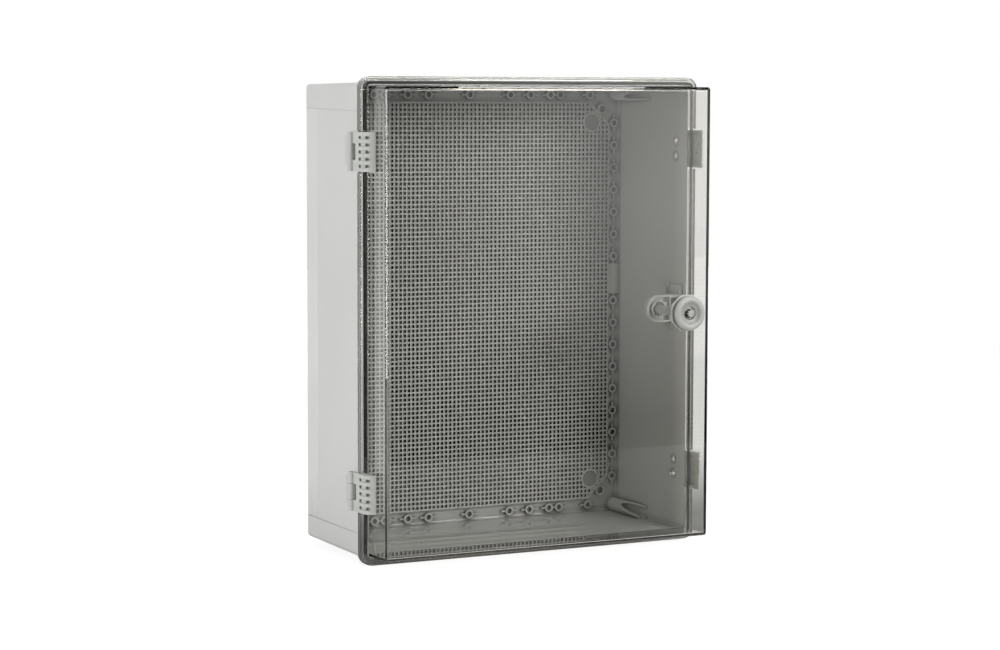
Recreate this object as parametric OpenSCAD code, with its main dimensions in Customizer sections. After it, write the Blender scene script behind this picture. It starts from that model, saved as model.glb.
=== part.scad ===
// Wall enclosure with a clear cover that swings on two left hinges, a gridded mounting plate,
// two snap latches on the right edge and a turn lock.
// Millimetres. The flat back lies on y = 0, the front faces -Y and +Z is up.

/* [Enclosure] */
// Width of the cover rim
rim_w = 396; // [360:1:440]
// Height of the cover rim
rim_h = 500; // [460:1:540]
// Depth of the base from the wall to the parting plane
base_d = 148; // [140:1:180]
// Height of the cover face in front of the parting plane
cover_d = 52; // [48:1:70]
// Thickness of the side walls
wall_t = 3; // [2.6:0.1:3.4]
// Thickness of the back wall
back_t = 3.5; // [3:0.1:4.5]
// How far the side walls stand in from the rim
inset_x = 4.5; // [4.5:0.1:5]
// How far the top and bottom walls stand in from the rim
inset_z = 6; // [5:0.1:7]
// Lean of each wall over the depth of the base
draft = 1.9; // [0.5:0.1:3]
// Radius of the wall corners
corner_r = 6; // [4:0.5:8]
// Radius of the edges around the back
back_edge_r = 4; // [2:0.5:5]
// Radius of the rim corners
rim_r = 12; // [8:0.5:14]
// Thickness of the flange around the mouth
flange_t = 5.5; // [4:0.1:5.5]
// Step from the cover rim to the flange of the base
flange_step = 1.7; // [1.5:0.1:2.5]
// Height of the collar in front of the parting plane
collar_h = 5.2; // [3:0.1:5.5]
// Depth of the sunk side panels at the back
panel_sink = 0.9; // [0.3:0.1:1.2]
// Distance of the side panels from the lower end wall
panel_end = 25; // [20:1:40]
// Distance of the side panels from the upper end wall, at the back
panel_top = 26.4; // [22:0.1:40]
// Drop of the upper end of the side panels towards the mouth
panel_drop = 2.6; // [0:0.1:5]
// Depth of the side panels at the mouth
panel_front = 0.4; // [0.1:0.1:0.8]

/* [Clear cover] */
// Thickness of the cover
cover_t = 3; // [2.5:0.1:3.5]
// How far the foot of the skirt stands in from the rim at the sides
skirt_in_x = 8; // [7.8:0.1:10]
// How far the foot of the skirt stands in from the rim at top and bottom
skirt_in_z = 10; // [9.5:0.1:12]
// Lean of the skirt towards the face
skirt_lean = 1.5; // [0.5:0.1:3]
// Radius of the edges around the face
face_r = 3.5; // [2:0.1:5]
// Depth of the lip around the cover flange
lip_h = 10; // [9:0.1:12]
// Thickness of the lip
lip_t = 3; // [2:0.1:3]
// Gap between the lip and the flange of the base
part_gap = 0.3; // [0.2:0.1:0.6]
// Gap between the gasket and the collar
seal_gap = 0.1; // [0.05:0.05:0.3]
// Gap between the flap of the seal and the collar
flap_gap = 0.4; // [0.3:0.05:0.6]
// Distance of the flap of the seal from the foot of the lip
flap_in = 0.8; // [0.5:0.1:2]

/* [Mounting plate] */
// Pitch of the square holes
grid_pitch = 5; // [4:0.5:10]
// Width of a square hole
grid_hole = 3; // [2:0.1:3.5]
// Width of the border around the holes
plate_border = 2; // [1.5:0.1:4]
// Thickness of the plate
plate_t = 4; // [3:0.1:6]
// Height of the plate off the back wall
plate_lift = 1.8; // [1:0.1:4]
// Least gap between the plate and the walls
plate_gap = 14.8; // [13.5:0.1:20]
// Cut across the corners of the plate
plate_cut = 25; // [22:1:30]
// Slit between the two layers of bars
bar_slit = 0.1; // [0.05:0.05:0.3]
// Distance of the locating rings from the edges of the plate
ring_in = 22.6; // [22:0.1:40]
// Outer radius of the locating rings
ring_r = 10.9; // [8:0.1:12]
// Width of the locating rings
ring_t = 1.5; // [1:0.1:2]
// Height of the locating rings in front of the plate
ring_rise = 1; // [0.5:0.1:2]
// Clearance of the locating posts in the rings
post_gap = 0.1; // [0.05:0.05:0.3]
// Width of the shoulder on the locating posts
post_step = 2.7; // [1:0.1:4]

/* [Bosses on the back wall] */
// Outer radius of the ring bosses
boss_r = 5.1; // [4:0.1:6]
// Hole radius of the ring bosses
boss_hole_r = 2.8; // [1.5:0.1:3]
// Height of the ring bosses
boss_h = 3.5; // [2:0.1:8]
// Pitch of the ring bosses
boss_pitch = 25; // [25:1:40]
// Reach of the ribs beside a boss
rib_l = 10; // [7:0.5:12]
// Thickness of the ribs
rib_t = 1.9; // [1.2:0.1:2.5]
// Drop of the ribs below the bosses
rib_drop = 0.5; // [0.2:0.1:1]
// Distance of the last boss from the ends of the plate
boss_end = 20; // [18:1:40]
// Length of the blank pad that takes the place of one side boss
blank_l = 34; // [20:1:38]
// Gap between the blank pad and the plate
blank_gap = 1.5; // [1:0.1:3]
// Outer radius of the corner bosses
corner_boss_r = 6.2; // [5:0.1:7]
// Hole radius of the corner bosses
corner_hole_r = 3.6; // [2:0.1:4.5]
// Gap between a corner boss and the plate
corner_gap = 0.45; // [0.3:0.05:1]

/* [Wall fixing] */
// Distance of the fixing holes from the inside of the side walls
fix_in_x = 4.6; // [4:0.1:8]
// Distance of the fixing holes from the inside of the end walls
fix_in_z = 5.6; // [4:0.1:8]
// Radius of the fixing holes
fix_r = 3.25; // [2:0.05:4]
// Inner radius of the fixing sockets
socket_r = 6.5; // [5:0.1:7.5]
// Wall of the fixing sockets
socket_t = 2; // [1.5:0.1:3]
// Height of a socket at its inner side
socket_low = 14; // [10:1:30]
// Height of a socket at the walls
socket_high = 73; // [40:1:100]

/* [Hinges and latches] */
// Distance of the clips from the ends of the rim
clip_end = 76; // [60:1:110]
// Height of a clip
clip_h = 40; // [36:1:56]
// Clearance of the screws in the walls
screw_gap = 0.2; // [0.1:0.05:0.4]
// Rise of the bracket pads from the outside of the walls
pad_rise = 0.1; // [0.1:0.1:0.5]
// Thickness of a clip
clip_t = 3.2; // [2.5:0.1:3.2]
// How far a clip stands out from the rim
clip_out = 2.5; // [2.5:0.1:4]
// Radius of the rounded front of a clip
clip_round = 12.5; // [11:0.1:15]
// Reach of a clip in front of the cover flange
clip_front = 20; // [18:0.5:24]
// Reach of a clip behind the cover flange
clip_back = 8; // [7:0.1:9]
// Thickness of the end walls of a clip
clip_cap = 3; // [2:0.1:4]
// Gap between a clip and the notch in the cover
notch_gap = 1.5; // [1:0.1:3]
// Gap between a latch and the cover
latch_gap = 0.5; // [0.3:0.1:1]
// Number of grooves on a hinge clip
hinge_grooves = 5; // [3:1:5]
// Pitch of the grooves on a hinge clip
hinge_groove_pitch = 7.2; // [5:0.1:7.4]
// Number of grooves on a latch clip
latch_grooves = 4; // [2:1:4]
// Pitch of the grooves on a latch clip
latch_groove_pitch = 9.2; // [6:0.1:9.4]
// Width of a groove
groove_w = 3.6; // [2:0.1:4.4]
// Depth of a groove
groove_d = 1; // [0.8:0.1:2]
// Ledge around the openings at the ends of a groove
groove_lip = 0.4; // [0.2:0.1:0.8]
// Straight length of the opening at the front end of a groove
groove_open = 1.2; // [0.5:0.1:2]
// Depth of the opening at the front end of a groove
groove_deep = 8; // [6:0.5:9]
// Distance of the grooves from the inner edge of a clip
groove_in = 4.5; // [3:0.1:6]
// Radius of the pins
pin_r = 1.5; // [1:0.1:2]
// Running clearance of the clips on the pins
pin_gap = 0.05; // [0.02:0.01:0.1]
// Radius of the knuckles
knuckle_r = 4; // [3.5:0.1:4.2]
// Height of the middle knuckle
knuckle_h = 16; // [10:1:18]
// Gap between the knuckles
knuckle_gap = 0.3; // [0.2:0.1:0.8]
// Distance of the pin axis from the side walls
pin_out = 6.5; // [6.5:0.1:7]
// Distance of the pin axis behind the parting plane
pin_back = 9; // [9:0.1:12]
// Length of the brackets along the wall
bracket_l = 24; // [22:1:36]
// Height of the brackets
bracket_h = 30; // [28:1:36]
// Thickness of the screwed part of a bracket
bracket_t = 4; // [3.5:0.1:5]
// Spacing of the bracket screws
bracket_pitch = 16.4; // [14:0.1:18]
// Distance of the bracket screws behind the pin
bracket_screw_back = 13; // [12:0.5:14]
// Radius of the screw shanks
screw_r = 2; // [1.5:0.1:2.2]
// Radius of the screw heads
screw_head_r = 4.7; // [4:0.1:5]
// Height of the screw heads
screw_head_h = 2.4; // [1.5:0.1:3]

/* [Lock] */
// Distance of the lock axis from the right rim
lock_in = 37.5; // [36:0.5:60]
// Height of the lock axis above the middle
lock_rise = 1.2; // [-40:0.1:40]
// Radius of the knob at its rim
knob_r = 18.7; // [17:0.1:22]
// Radius of the knob at its foot
knob_foot_r = 16.4; // [14:0.1:16.5]
// Height of the knob
knob_h = 13.2; // [12:0.1:16]
// Radius of the rounded rim of the knob
knob_rim_r = 3.5; // [3:0.1:4]
// Angle below the rim at which the side of the knob starts
knob_flare = 13; // [8:1:20]
// Depth of the dish in the knob
dish_d = 4.6; // [3:0.1:5]
// Depth of the recess in the dish
recess_d = 4; // [3:0.1:4.2]
// Radius of the recess in the dish
recess_r = 7.8; // [6:0.1:9]
// Thickness of the core with its star stud
core_t = 3.4; // [2.8:0.1:3.8]
// Gap around the core
core_gap = 0.2; // [0.1:0.05:0.4]
// Width of the star stud across its flats
star_w = 7.4; // [6:0.1:8]
// Height of the star stud
star_h = 2.2; // [1:0.1:2.4]
// Number of points of the star stud in each quarter turn
star_turns = 3; // [2:1:4]
// Thickness of the escutcheon
esc_t = 3.5; // [2.5:0.1:5]
// Radius of the escutcheon at its rounded corners
esc_r = 21.5; // [20:0.1:24]
// Width of the escutcheon across its flats
esc_flat = 40.6; // [38:0.1:42]
// Outer radius of the threaded bush
bush_r = 8; // [7:0.1:10]
// Gap between the bush and the cover
bush_gap = 0.2; // [0.1:0.05:0.4]
// Height of the nut
nut_t = 4.5; // [3:0.1:6]
// Radius of the nut across its corners
nut_r = 14; // [13:0.1:16]
// Thickness of the sealing washer
seal_t = 1; // [0.6:0.1:2]
// Radius of the shaft
shaft_r = 4.5; // [4:0.1:5]
// Depth of the shaft's seat in the knob
shaft_seat = 2.6; // [1.5:0.1:2.8]
// Running clearance of the shaft in the bush
shaft_gap = 0.08; // [0.03:0.01:0.1]
// Gap between the knob and the escutcheon
knob_gap = 0.3; // [0.2:0.1:0.6]
// Radius of the cross pin
lug_r = 1.5; // [1:0.1:2]
// Length of the cross pin
lug_l = 14; // [12:0.5:14]
// Length of the shaft past the cross pin
shaft_tip = 2.5; // [2:0.1:4]

/* [Keeper] */
// Distance of the keeper front behind the parting plane
keeper_back = 5; // [3:0.5:10]
// Radius of the round end of the keeper
keeper_r = 14.5; // [13:0.1:18]
// Thickness of the keeper plate
keeper_t = 6; // [5:0.1:8]
// Thickness of the floor around the keyhole
keeper_floor = 3; // [2:0.1:3.5]
// Thickness of the rib around the front of the keeper plate
keeper_edge = 1.8; // [1.2:0.1:2.2]
// Length of the keeper plate past the lock axis
keeper_end = 15; // [13:0.5:17]
// Width of the square windows in the corners of the keeper plate
window_w = 5.6; // [4:0.1:6.5]
// Radius of the pocket in front of the keyhole
pocket_r = 7.8; // [7.8:0.1:8]
// Thickness of the ring around the pocket
pocket_t = 1.2; // [0.8:0.1:2]
// Height of the ring around the pocket
pocket_rise = 0.8; // [0.4:0.1:1.5]
// Gap between the keyhole and the shaft
key_gap = 0.4; // [0.3:0.05:0.8]
// Gap between the keyhole floor and the lugs
lug_gap = 0.5; // [0.3:0.1:1]
// Thickness of the foot, the ribs and the gussets
keeper_rib = 3; // [2:0.1:4]
// Depth of the keeper foot along the wall
foot_l = 31; // [28:1:50]
// Gap between the keeper and the heads of its screws
foot_gap = 1; // [0.5:0.1:3]
// Room left in the keyhole at each end of the cross pin
slot_gap = 0.6; // [0.5:0.1:0.7]
// Distance of the keeper screws from the back end of the foot
foot_screw = 8; // [7:0.5:12]
// Least thickness of the flat pads on the walls
pad_t = 0.6; // [0.3:0.1:1]

/* [Hidden] */
rim_x = rim_w / 2;
rim_z = rim_h / 2;
side_x = rim_x - inset_x;
end_z = rim_z - inset_z;
inner_r = max(corner_r - wall_t, 1);
collar_w = base_d + collar_h;
flange_w = base_d - flange_t;
inner_x = side_x - draft - wall_t;
inner_z = end_z - draft - wall_t;
weld = 0.5;
over = 1;
floor_w = back_t - weld;

lip_w = base_d + part_gap;
flap_w = lip_w + flap_in;
ledge_w = base_d + lip_h;
under_w = ledge_w - cover_t;
face_w = base_d + cover_d;
skirt_x = rim_x - skirt_in_x;
skirt_z = rim_z - skirt_in_z;
skin_r = max(face_r - cover_t, 1);

grid_nx = floor((inner_x - plate_gap - plate_border - grid_hole / 2) / grid_pitch);
grid_nz = floor((inner_z - plate_gap - plate_border - grid_hole / 2) / grid_pitch);
plate_x = grid_nx * grid_pitch + grid_hole / 2 + plate_border;
plate_z = grid_nz * grid_pitch + grid_hole / 2 + plate_border;
plate_w = back_t + plate_lift;
post_x = plate_x - ring_in;
post_z = plate_z - ring_in;
post_r = ring_r - ring_t - post_gap;

boss_x = (plate_x + inner_x) / 2;
boss_z = (plate_z + inner_z) / 2;
boss_w = back_t + boss_h;
side_steps = floor((plate_z - boss_end) / boss_pitch);
row_steps = [0, 2, 3, 4, 4.5, 6];
corner_in = (plate_cut - (corner_boss_r + corner_gap) * sqrt(2)) / 2;
fix_x = inner_x - fix_in_x;
fix_z = inner_z - fix_in_z;

clip_z = rim_z - clip_end;
clip_x = rim_x + clip_out;
clip_in = clip_x - clip_t;
clip_w0 = ledge_w - clip_back;
clip_w1 = ledge_w + clip_front;
round_x = clip_x - clip_round;
round_w = clip_w1 - clip_round;
notch_x = side_x + part_gap;
hook_x = skirt_x + latch_gap;
latch_x = notch_x + latch_gap;
pin_x = side_x + pin_out;
pin_w = base_d - pin_back;
pin_l = clip_h - 1;
pad_x = side_x + pad_rise;
leaf_t = pin_out - pad_rise - knuckle_r - knuckle_gap;
bracket_w1 = flange_w - latch_gap;
bracket_w0 = bracket_w1 - bracket_l;
screw_w = pin_w - bracket_screw_back;
block_w1 = screw_w + screw_head_r + screw_r;
head_x = side_x - draft * (base_d - screw_w) / base_d - wall_t - pad_t;

lock_x = rim_x - lock_in;
esc_w = face_w + esc_t;
knob_w = esc_w + knob_gap;
dish_w = knob_w + knob_h - dish_d;
recess_w = dish_w - recess_d;
nut_w = face_w - cover_t - seal_t;
keeper_w = base_d - keeper_back;
key_w = keeper_w - keeper_t;
lug_w = key_w - lug_gap - lug_r;
shaft_w = lug_w - shaft_tip;
foot_w0 = keeper_w - foot_l;
foot_x = side_x - draft * (base_d - foot_w0) / base_d - wall_t - pad_t;
foot_screw_w = foot_w0 + foot_screw;
foot_screw_z = keeper_r + foot_gap + screw_head_r;
foot_h = 2 * (foot_screw_z + screw_head_r);
foot_screw_x = side_x - wall_t / 2;

$fn = 64;

// Half width of the outer walls at a height off the back
function wall_x(w) = side_x - draft * (base_d - w) / base_d;
function wall_z(w) = end_z - draft * (base_d - w) / base_d;

// Turns a front view with heights off the back into place
module front() {
  rotate([90, 0, 0]) children();
}

// Rounded rectangle by its half sizes
module rounded(hx, hz, r) {
  square([2 * hx - 2 * r, 2 * hz], center = true);
  square([2 * hx, 2 * hz - 2 * r], center = true);
  for (sx = [-1, 1], sz = [-1, 1])
    translate([sx * (hx - r), sz * (hz - r)]) circle(r);
}

// Ball that reaches its full radius along every axis
module ball(r) {
  rotate_extrude($fn = 32) intersection() {
    circle(r, $fn = 24);
    translate([0, -r]) square([r, 2 * r]);
  }
}

// Drafted tub with a rounded edge at one end and a straight edge at the other
module tub(hx0, hz0, w0, r0, hx1, hz1, w1, r1) {
  hull() {
    for (sx = [-1, 1], sz = [-1, 1]) {
      translate([sx * (hx0 - r0), sz * (hz0 - r0), w0]) ball(r0);
      translate([sx * (hx1 - r1), sz * (hz1 - r1), w1]) cylinder(r = r1, h = 0.01, $fn = 32);
    }
  }
}

// Repeats a piece in the four quarters by mirroring
module quarters() {
  for (sx = [0, 1], sz = [0, 1])
    mirror([sx, 0, 0]) mirror([0, sz, 0]) children();
}

// Plan view rectangle from the middle outwards and from the back forwards
module plan_rect(x0, x1, w0, w1) {
  translate([x0, -w1]) square([x1 - x0, w1 - w0]);
}

// Plan view disc
module plan_disc(x, w, r) {
  translate([x, -w]) circle(r);
}

// Raises a plan view by a height about its middle
module raise(z, h) {
  translate([0, 0, z - h / 2]) linear_extrude(h) children();
}

// Round bar along X
module bar_x(x0, x1, r) {
  translate([x0, 0, 0]) rotate([0, 90, 0]) cylinder(r = r, h = x1 - x0);
}

// Places a piece at each screw of the two brackets on one side
module at_bracket_screws() {
  for (sz = [-1, 1], sp = [-1, 1])
    translate([0, -screw_w, sz * clip_z + sp * bracket_pitch / 2]) children();
}

// Ring boss with two ribs along one direction
module ring_boss(turn) {
  difference() {
    union() {
      translate([0, 0, floor_w]) cylinder(r = boss_r, h = boss_w - floor_w);
      rotate([0, 0, turn]) translate([-rib_l, -rib_t / 2, floor_w])
        cube([2 * rib_l, rib_t, boss_w - floor_w - rib_drop]);
    }
    translate([0, 0, back_t / 2]) cylinder(r = boss_hole_r, h = boss_w);
  }
}

// Ring bosses beside the plate, with the ribs that join them
module boss_rows() {
  for (sx = [-1, 1], k = [-side_steps:side_steps])
    if (k != 1)
      translate([sx * boss_x, k * boss_pitch]) ring_boss(90);
  for (sz = [-1, 1], sx = [-1, 1], k = row_steps)
    if (k * boss_pitch < plate_x - boss_end && (k > 0 || sx > 0))
      translate([sx * k * boss_pitch, sz * boss_z]) ring_boss(0);
  for (sx = [0, 1])
    mirror([sx, 0, 0])
      translate([plate_x + blank_gap, boss_pitch - blank_l / 2, floor_w])
        cube([inner_x + weld - plate_x - blank_gap, blank_l, boss_w - floor_w - rib_drop]);
}

// Corner boss, locating post and fixing socket of one quarter
module corner_features() {
  translate([plate_x - corner_in, plate_z - corner_in, 0]) difference() {
    translate([0, 0, floor_w]) cylinder(r = corner_boss_r, h = boss_w - floor_w);
    translate([0, 0, back_t / 2]) cylinder(r = corner_hole_r, h = boss_w);
  }
  translate([post_x, post_z, 0]) {
    translate([0, 0, floor_w]) cylinder(r = post_r + post_step, h = plate_w - floor_w);
    translate([0, 0, floor_w]) cylinder(r = post_r, h = plate_w + plate_t - rib_drop - floor_w);
  }
  intersection() {
    translate([fix_x, fix_z, 0]) difference() {
      translate([0, 0, floor_w]) cylinder(r = socket_r + socket_t, h = socket_high - floor_w);
      translate([0, 0, floor_w - over]) cylinder(r = socket_r, h = socket_high);
      rotate([0, 0, 45]) rotate([90, 0, 0])
        translate([0, 0, -2 * socket_r]) linear_extrude(4 * socket_r)
          polygon([[-2 * socket_r, socket_low], [-socket_r - socket_t, socket_low], [-socket_t, socket_high],
            [-socket_t, socket_high + over], [-2 * socket_r, socket_high + over]]);
    }
    translate([-inner_x - wall_t / 2, -inner_z - wall_t / 2, 0])
      cube([2 * inner_x + wall_t, 2 * inner_z + wall_t, socket_high]);
  }
}

// Wedge that sinks a side panel, with an upper end that drops towards the mouth
module panel_cut() {
  top_z = end_z - panel_top;
  difference() {
    translate([0, 0, panel_end - end_z]) linear_extrude(end_z - panel_end + top_z)
      polygon([[wall_x(0) - panel_sink, 0.01], [wall_x(flange_w) - panel_front, -flange_w - weld],
        [side_x + over, -flange_w - weld], [side_x + over, 0.01]]);
    rotate([90, 0, 90]) linear_extrude(rim_x)
      polygon([[over, top_z], [-flange_w - over, top_z - panel_drop], [-flange_w - over, top_z + over],
        [over, top_z + over]]);
  }
}

module base_box() {
  color([0.62, 0.63, 0.62]) difference() {
    union() {
      difference() {
        union() {
          difference() {
            front() tub(wall_x(back_edge_r), wall_z(back_edge_r), back_edge_r, back_edge_r,
              wall_x(collar_w), wall_z(collar_w), collar_w - 0.01, corner_r);
            for (sx = [0, 1])
              mirror([sx, 0, 0]) panel_cut();
          }
          front() translate([0, 0, flange_w])
            linear_extrude(flange_t) rounded(rim_x - flange_step, rim_z - flange_step, rim_r - flange_step);
          for (sx = [0, 1], sz = [-1, 1])
            mirror([sx, 0, 0]) raise(sz * clip_z, bracket_h)
              plan_rect(inner_x, pad_x, bracket_w0, flange_w + weld);
        }
        front() tub(wall_x(back_t) - wall_t, wall_z(back_t) - wall_t, back_t + inner_r, inner_r,
          wall_x(collar_w + over) - wall_t, wall_z(collar_w + over) - wall_t, collar_w + over, inner_r);
      }
      front() {
        boss_rows();
        quarters() corner_features();
      }
      for (sx = [0, 1])
        mirror([sx, 0, 0]) at_bracket_screws() bar_x(head_x, side_x - wall_t / 2, screw_head_r + foot_gap);
      raise(lock_rise, foot_h) plan_rect(foot_x, side_x - wall_t / 2, foot_w0, keeper_w);
    }
    front() quarters()
      translate([fix_x, fix_z, -over]) cylinder(r = fix_r, h = back_t + 2 * over);
    for (sx = [0, 1])
      mirror([sx, 0, 0]) at_bracket_screws() bar_x(head_x - over, pad_x + over, screw_r + screw_gap);
    for (s = [-1, 1])
      translate([0, -foot_screw_w, lock_rise + s * foot_screw_z])
        bar_x(foot_x - over, foot_screw_x + weld, screw_r);
  }
}

// Outline of the mounting plate, drawn in by a margin
module plate_outline(m) {
  hx = plate_x - m;
  hz = plate_z - m;
  c = plate_cut - m * (2 - sqrt(2));
  polygon([[-hx + c, -hz], [hx - c, -hz], [hx, -hz + c], [hx, hz - c],
    [hx - c, hz], [-hx + c, hz], [-hx, hz - c], [-hx, -hz + c]]);
}

// One layer of the plate, with long slots across or along it
module plate_layer(across) {
  difference() {
    plate_outline(0);
    difference() {
      intersection() {
        plate_outline(plate_border);
        if (across)
          for (k = [-grid_nz:grid_nz])
            translate([0, k * grid_pitch]) square([2 * plate_x, grid_hole], center = true);
        else
          for (k = [-grid_nx:grid_nx])
            translate([k * grid_pitch, 0]) square([grid_hole, 2 * plate_z], center = true);
      }
      for (sx = [-1, 1], sz = [-1, 1])
        translate([sx * post_x, sz * post_z]) circle(ring_r);
    }
    for (sx = [-1, 1], sz = [-1, 1])
      translate([sx * post_x, sz * post_z]) circle(ring_r - ring_t);
  }
}

module mounting_plate() {
  layer_t = (plate_t - bar_slit) / 2;
  color([0.7, 0.7, 0.69]) front() translate([0, 0, plate_w]) {
    linear_extrude(layer_t) plate_layer(false);
    translate([0, 0, plate_t - layer_t]) linear_extrude(layer_t) plate_layer(true);
    linear_extrude(plate_t) difference() {
      plate_outline(0);
      plate_outline(plate_border);
    }
    quarters() translate([post_x, post_z]) linear_extrude(plate_t + ring_rise) difference() {
      circle(ring_r);
      circle(ring_r - ring_t);
    }
  }
}

// Bracket on a side wall with the middle knuckle
module bracket() {
  difference() {
    union() {
      raise(0, bracket_h) plan_rect(pad_x, pad_x + leaf_t, bracket_w0, bracket_w1);
      raise(0, bracket_h) plan_rect(pad_x, pad_x + bracket_t, bracket_w0, block_w1);
      raise(0, knuckle_h) plan_rect(pad_x, pin_x, pin_w - knuckle_r, bracket_w1);
      raise(0, knuckle_h) plan_disc(pin_x, pin_w, knuckle_r);
    }
    raise(0, knuckle_h + over) plan_disc(pin_x, pin_w, pin_r);
    for (s = [-1, 1])
      translate([0, -screw_w, s * bracket_pitch / 2])
        bar_x(pad_x - over, pad_x + bracket_t - weld, screw_r);
  }
}

module hinge_bracket_upper() {
  color([0.56, 0.58, 0.56]) translate([0, 0, clip_z]) mirror([1, 0, 0]) bracket();
}

module hinge_bracket_lower() {
  color([0.56, 0.58, 0.56]) translate([0, 0, -clip_z]) mirror([1, 0, 0]) bracket();
}

module latch_bracket_upper() {
  color([0.56, 0.58, 0.56]) translate([0, 0, clip_z]) bracket();
}

module latch_bracket_lower() {
  color([0.56, 0.58, 0.56]) translate([0, 0, -clip_z]) bracket();
}

// Pin through the three knuckles
module pin() {
  raise(0, pin_l) plan_disc(pin_x, pin_w, pin_r);
}

module hinge_pin_upper() {
  color([0.75, 0.75, 0.76]) translate([0, 0, clip_z]) mirror([1, 0, 0]) pin();
}

module hinge_pin_lower() {
  color([0.75, 0.75, 0.76]) translate([0, 0, -clip_z]) mirror([1, 0, 0]) pin();
}

module latch_pin_upper() {
  color([0.75, 0.75, 0.76]) translate([0, 0, clip_z]) pin();
}

module latch_pin_lower() {
  color([0.75, 0.75, 0.76]) translate([0, 0, -clip_z]) pin();
}

// Screw along X with its head towards the middle
module wall_screw(x0, x1) {
  difference() {
    union() {
      bar_x(x0 - screw_head_h, x0, screw_head_r);
      bar_x(x0 - weld, x1, screw_r);
    }
    for (a = [0, 90])
      translate([x0 - screw_head_h - over, 0, 0]) rotate([a, 0, 0])
        translate([0, -screw_r, -screw_r / 4]) cube([over + screw_head_h / 2, 2 * screw_r, screw_r / 2]);
  }
}

module hinge_screws() {
  color([0.7, 0.7, 0.72]) mirror([1, 0, 0])
    at_bracket_screws() wall_screw(head_x, pad_x + bracket_t - 2 * weld);
}

module latch_screws() {
  color([0.7, 0.7, 0.72]) at_bracket_screws() wall_screw(head_x, pad_x + bracket_t - 2 * weld);
}

// Plan of the rounded shell of a clip, drawn in by a margin
module clip_plan(m, x0) {
  intersection() {
    union() {
      plan_rect(x0, clip_x - m, clip_w0, round_w);
      plan_disc(round_x, round_w, clip_round - m);
    }
    plan_rect(x0, clip_x + over, clip_w0, clip_w1 + over);
  }
}

// Groove round the front corner of a clip, with an opening through the wall at each end
module clip_groove() {
  r = groove_w / 2;
  end_x = hook_x + groove_in + r;
  raise(0, groove_w) difference() {
    intersection() {
      clip_plan(-over, skirt_x);
      plan_rect(end_x, clip_x + over, ledge_w + r, clip_w1 + over);
    }
    clip_plan(groove_d, skirt_x);
  }
  translate([0, -ledge_w - r, 0]) bar_x(clip_x - groove_d, clip_x + over, r);
  intersection() {
    translate([end_x, -round_w, 0]) rotate([90, 0, 0]) cylinder(r = r, h = clip_round);
    raise(0, 2 * groove_w) difference() {
      clip_plan(-over, skirt_x);
      clip_plan(groove_d, skirt_x);
    }
  }
  translate([0, -ledge_w - r, 0]) bar_x(clip_in - over, clip_x, r - groove_lip);
  front() translate([end_x, 0, clip_w1 - groove_deep]) linear_extrude(groove_deep) {
    for (x = [0, groove_open])
      translate([x, 0]) circle(r - groove_lip);
    translate([0, groove_lip - r]) square([groove_open, groove_w - 2 * groove_lip]);
  }
}

// Clip with end walls and two knuckles, open towards the cover from a given inner edge
module clip(x0, grooves, pitch) {
  arm_h = (clip_h - knuckle_h) / 2 - knuckle_gap;
  difference() {
    union() {
      raise(0, clip_h) difference() {
        clip_plan(0, x0);
        clip_plan(clip_t, skirt_x);
      }
      for (s = [-1, 1]) {
        raise(s * (clip_h - clip_cap) / 2, clip_cap) intersection() {
          clip_plan(0, x0);
          union() {
            plan_rect(latch_x, clip_x, clip_w0, clip_w1);
            plan_rect(x0, clip_x, ledge_w + latch_gap, clip_w1);
          }
        }
        raise(s * (clip_h - arm_h) / 2, arm_h) {
          plan_rect(clip_in, clip_x, pin_w, clip_w0 + weld);
          plan_disc(pin_x, pin_w, knuckle_r);
        }
      }
    }
    raise(0, clip_h + over) plan_disc(pin_x, pin_w, pin_r + pin_gap);
    for (k = [0:grooves - 1])
      translate([0, 0, (k - (grooves - 1) / 2) * pitch]) clip_groove();
  }
}

// Hinge clip with the seat that grips the notch of the cover flange
module hinge_clip() {
  clip(hook_x, hinge_grooves, hinge_groove_pitch);
  raise(0, clip_h) plan_rect(notch_x, clip_in + weld, clip_w0 + over, ledge_w - weld);
}

module hinge_clip_upper() {
  color([0.64, 0.66, 0.63]) translate([0, 0, clip_z]) mirror([1, 0, 0]) hinge_clip();
}

module hinge_clip_lower() {
  color([0.64, 0.66, 0.63]) translate([0, 0, -clip_z]) mirror([1, 0, 0]) hinge_clip();
}

module latch_clip_upper() {
  color([0.64, 0.66, 0.63]) translate([0, 0, clip_z]) clip(latch_x, latch_grooves, latch_groove_pitch);
}

module latch_clip_lower() {
  color([0.64, 0.66, 0.63]) translate([0, 0, -clip_z]) clip(latch_x, latch_grooves, latch_groove_pitch);
}

// Places a front view on the lock axis
module at_lock() {
  front() translate([lock_x, lock_rise, 0]) children();
}

// Front view of the keeper plate, drawn in by a margin
module keeper_plan(m) {
  circle(keeper_r - m);
  translate([0, m - keeper_r]) square([keeper_end - m, 2 * (keeper_r - m)]);
}

// Keeper plate with a raised rib along its edge and a window in each square corner
module keeper_plate() {
  difference() {
    translate([0, 0, key_w]) linear_extrude(keeper_t) keeper_plan(0);
    translate([0, 0, key_w + keeper_floor]) linear_extrude(keeper_t) keeper_plan(keeper_edge);
    for (s = [0, 1])
      mirror([0, s, 0])
        translate([keeper_end - keeper_edge - window_w, keeper_r - keeper_edge - window_w, key_w - over])
          cube([window_w, window_w, keeper_t]);
  }
  translate([0, 0, key_w]) cylinder(r = pocket_r + pocket_t, h = keeper_t + pocket_rise);
}

// Arm from the keeper plate to the foot, in plan view
module keeper_arm() {
  arm_x = lock_x + keeper_end - keeper_edge;
  polygon([[arm_x, -keeper_w], [foot_x - weld, -keeper_w], [foot_x - weld, -foot_w0 - keeper_rib],
    [foot_x - 2 * keeper_rib, -foot_w0 - keeper_rib], [arm_x, -key_w]]);
}

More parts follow.
